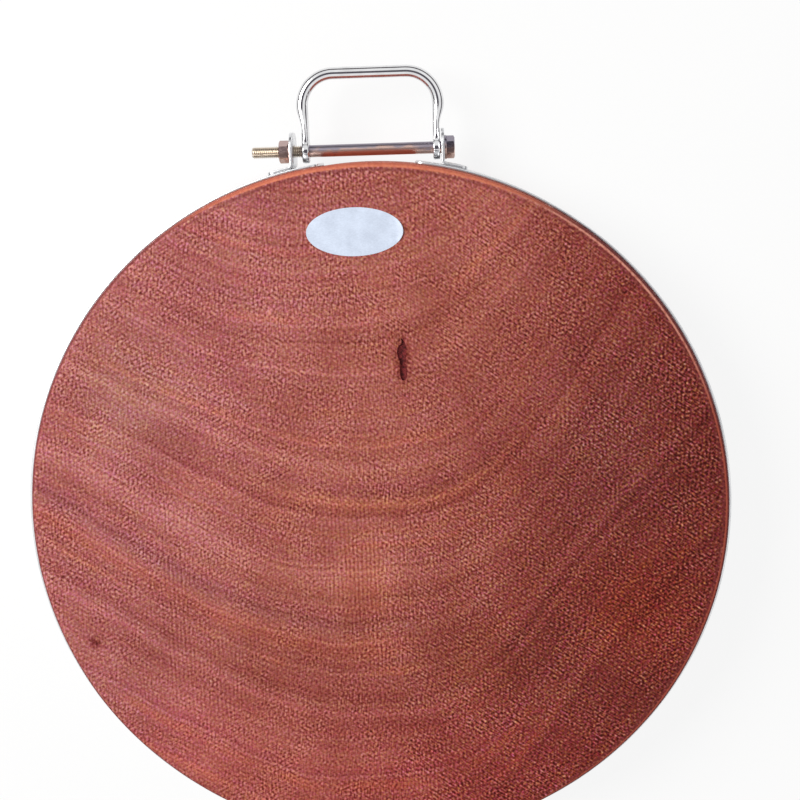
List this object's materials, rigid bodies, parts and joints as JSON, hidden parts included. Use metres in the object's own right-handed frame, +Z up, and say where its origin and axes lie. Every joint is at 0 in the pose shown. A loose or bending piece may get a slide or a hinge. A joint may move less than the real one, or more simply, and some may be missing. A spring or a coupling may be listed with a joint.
{
  "type": "round chopping block",
  "caption": "Round end-grain hardwood chopping block in a clamped steel hoop, with a swinging U-shaped carry handle on the clamp bolt.",
  "frame": {"origin": "centre of the base, the face that the block lies on", "axes": "+Z up through the working face, +Y from the block's centre towards the handle, +X along the clamp bolt towards its head"},
  "size_m": [0.363, 0.4086, 0.0501],
  "materials": {
    "ironwood": "satin",
    "hoop_steel": "satin",
    "bolt_zinc": "satin",
    "handle_steel": "polished",
    "label_paper": "satin"
  },
  "bodies": {
    "block": {"wood_block": "ironwood", "hoop_band": "hoop_steel", "left_ear": "hoop_steel", "right_ear": "hoop_steel", "clamp_bolt": "bolt_zinc", "head_washer": "bolt_zinc", "oval_label": "label_paper"},
    "handle": {"carry_handle": "handle_steel"},
    "loose_washer": {"nut_washer": "bolt_zinc"},
    "nut": {"clamp_nut": "bolt_zinc"}
  },
  "joints": [
    {"name": "handle_swing", "type": "hinge", "parent": "block", "child": "handle", "pos_m": [0, 0.18607, 0.025], "axis": [1, 0, 0], "range_deg": [-100, 100]},
    {"name": "nut_travel", "type": "slide", "parent": "block", "child": "loose_washer", "axis": [-1, 0, 0], "range_m": [0, 0.0125]},
    {"name": "nut_turn", "type": "hinge", "parent": "loose_washer", "child": "nut", "pos_m": [-0.0424, 0.18607, 0.025], "axis": [-1, 0, 0], "range_deg": [0, 4500]}
  ],
  "couplings": [
    {"joint": "nut_travel", "follows": "nut_turn", "m_per_rad": 0.00015915}
  ]
}
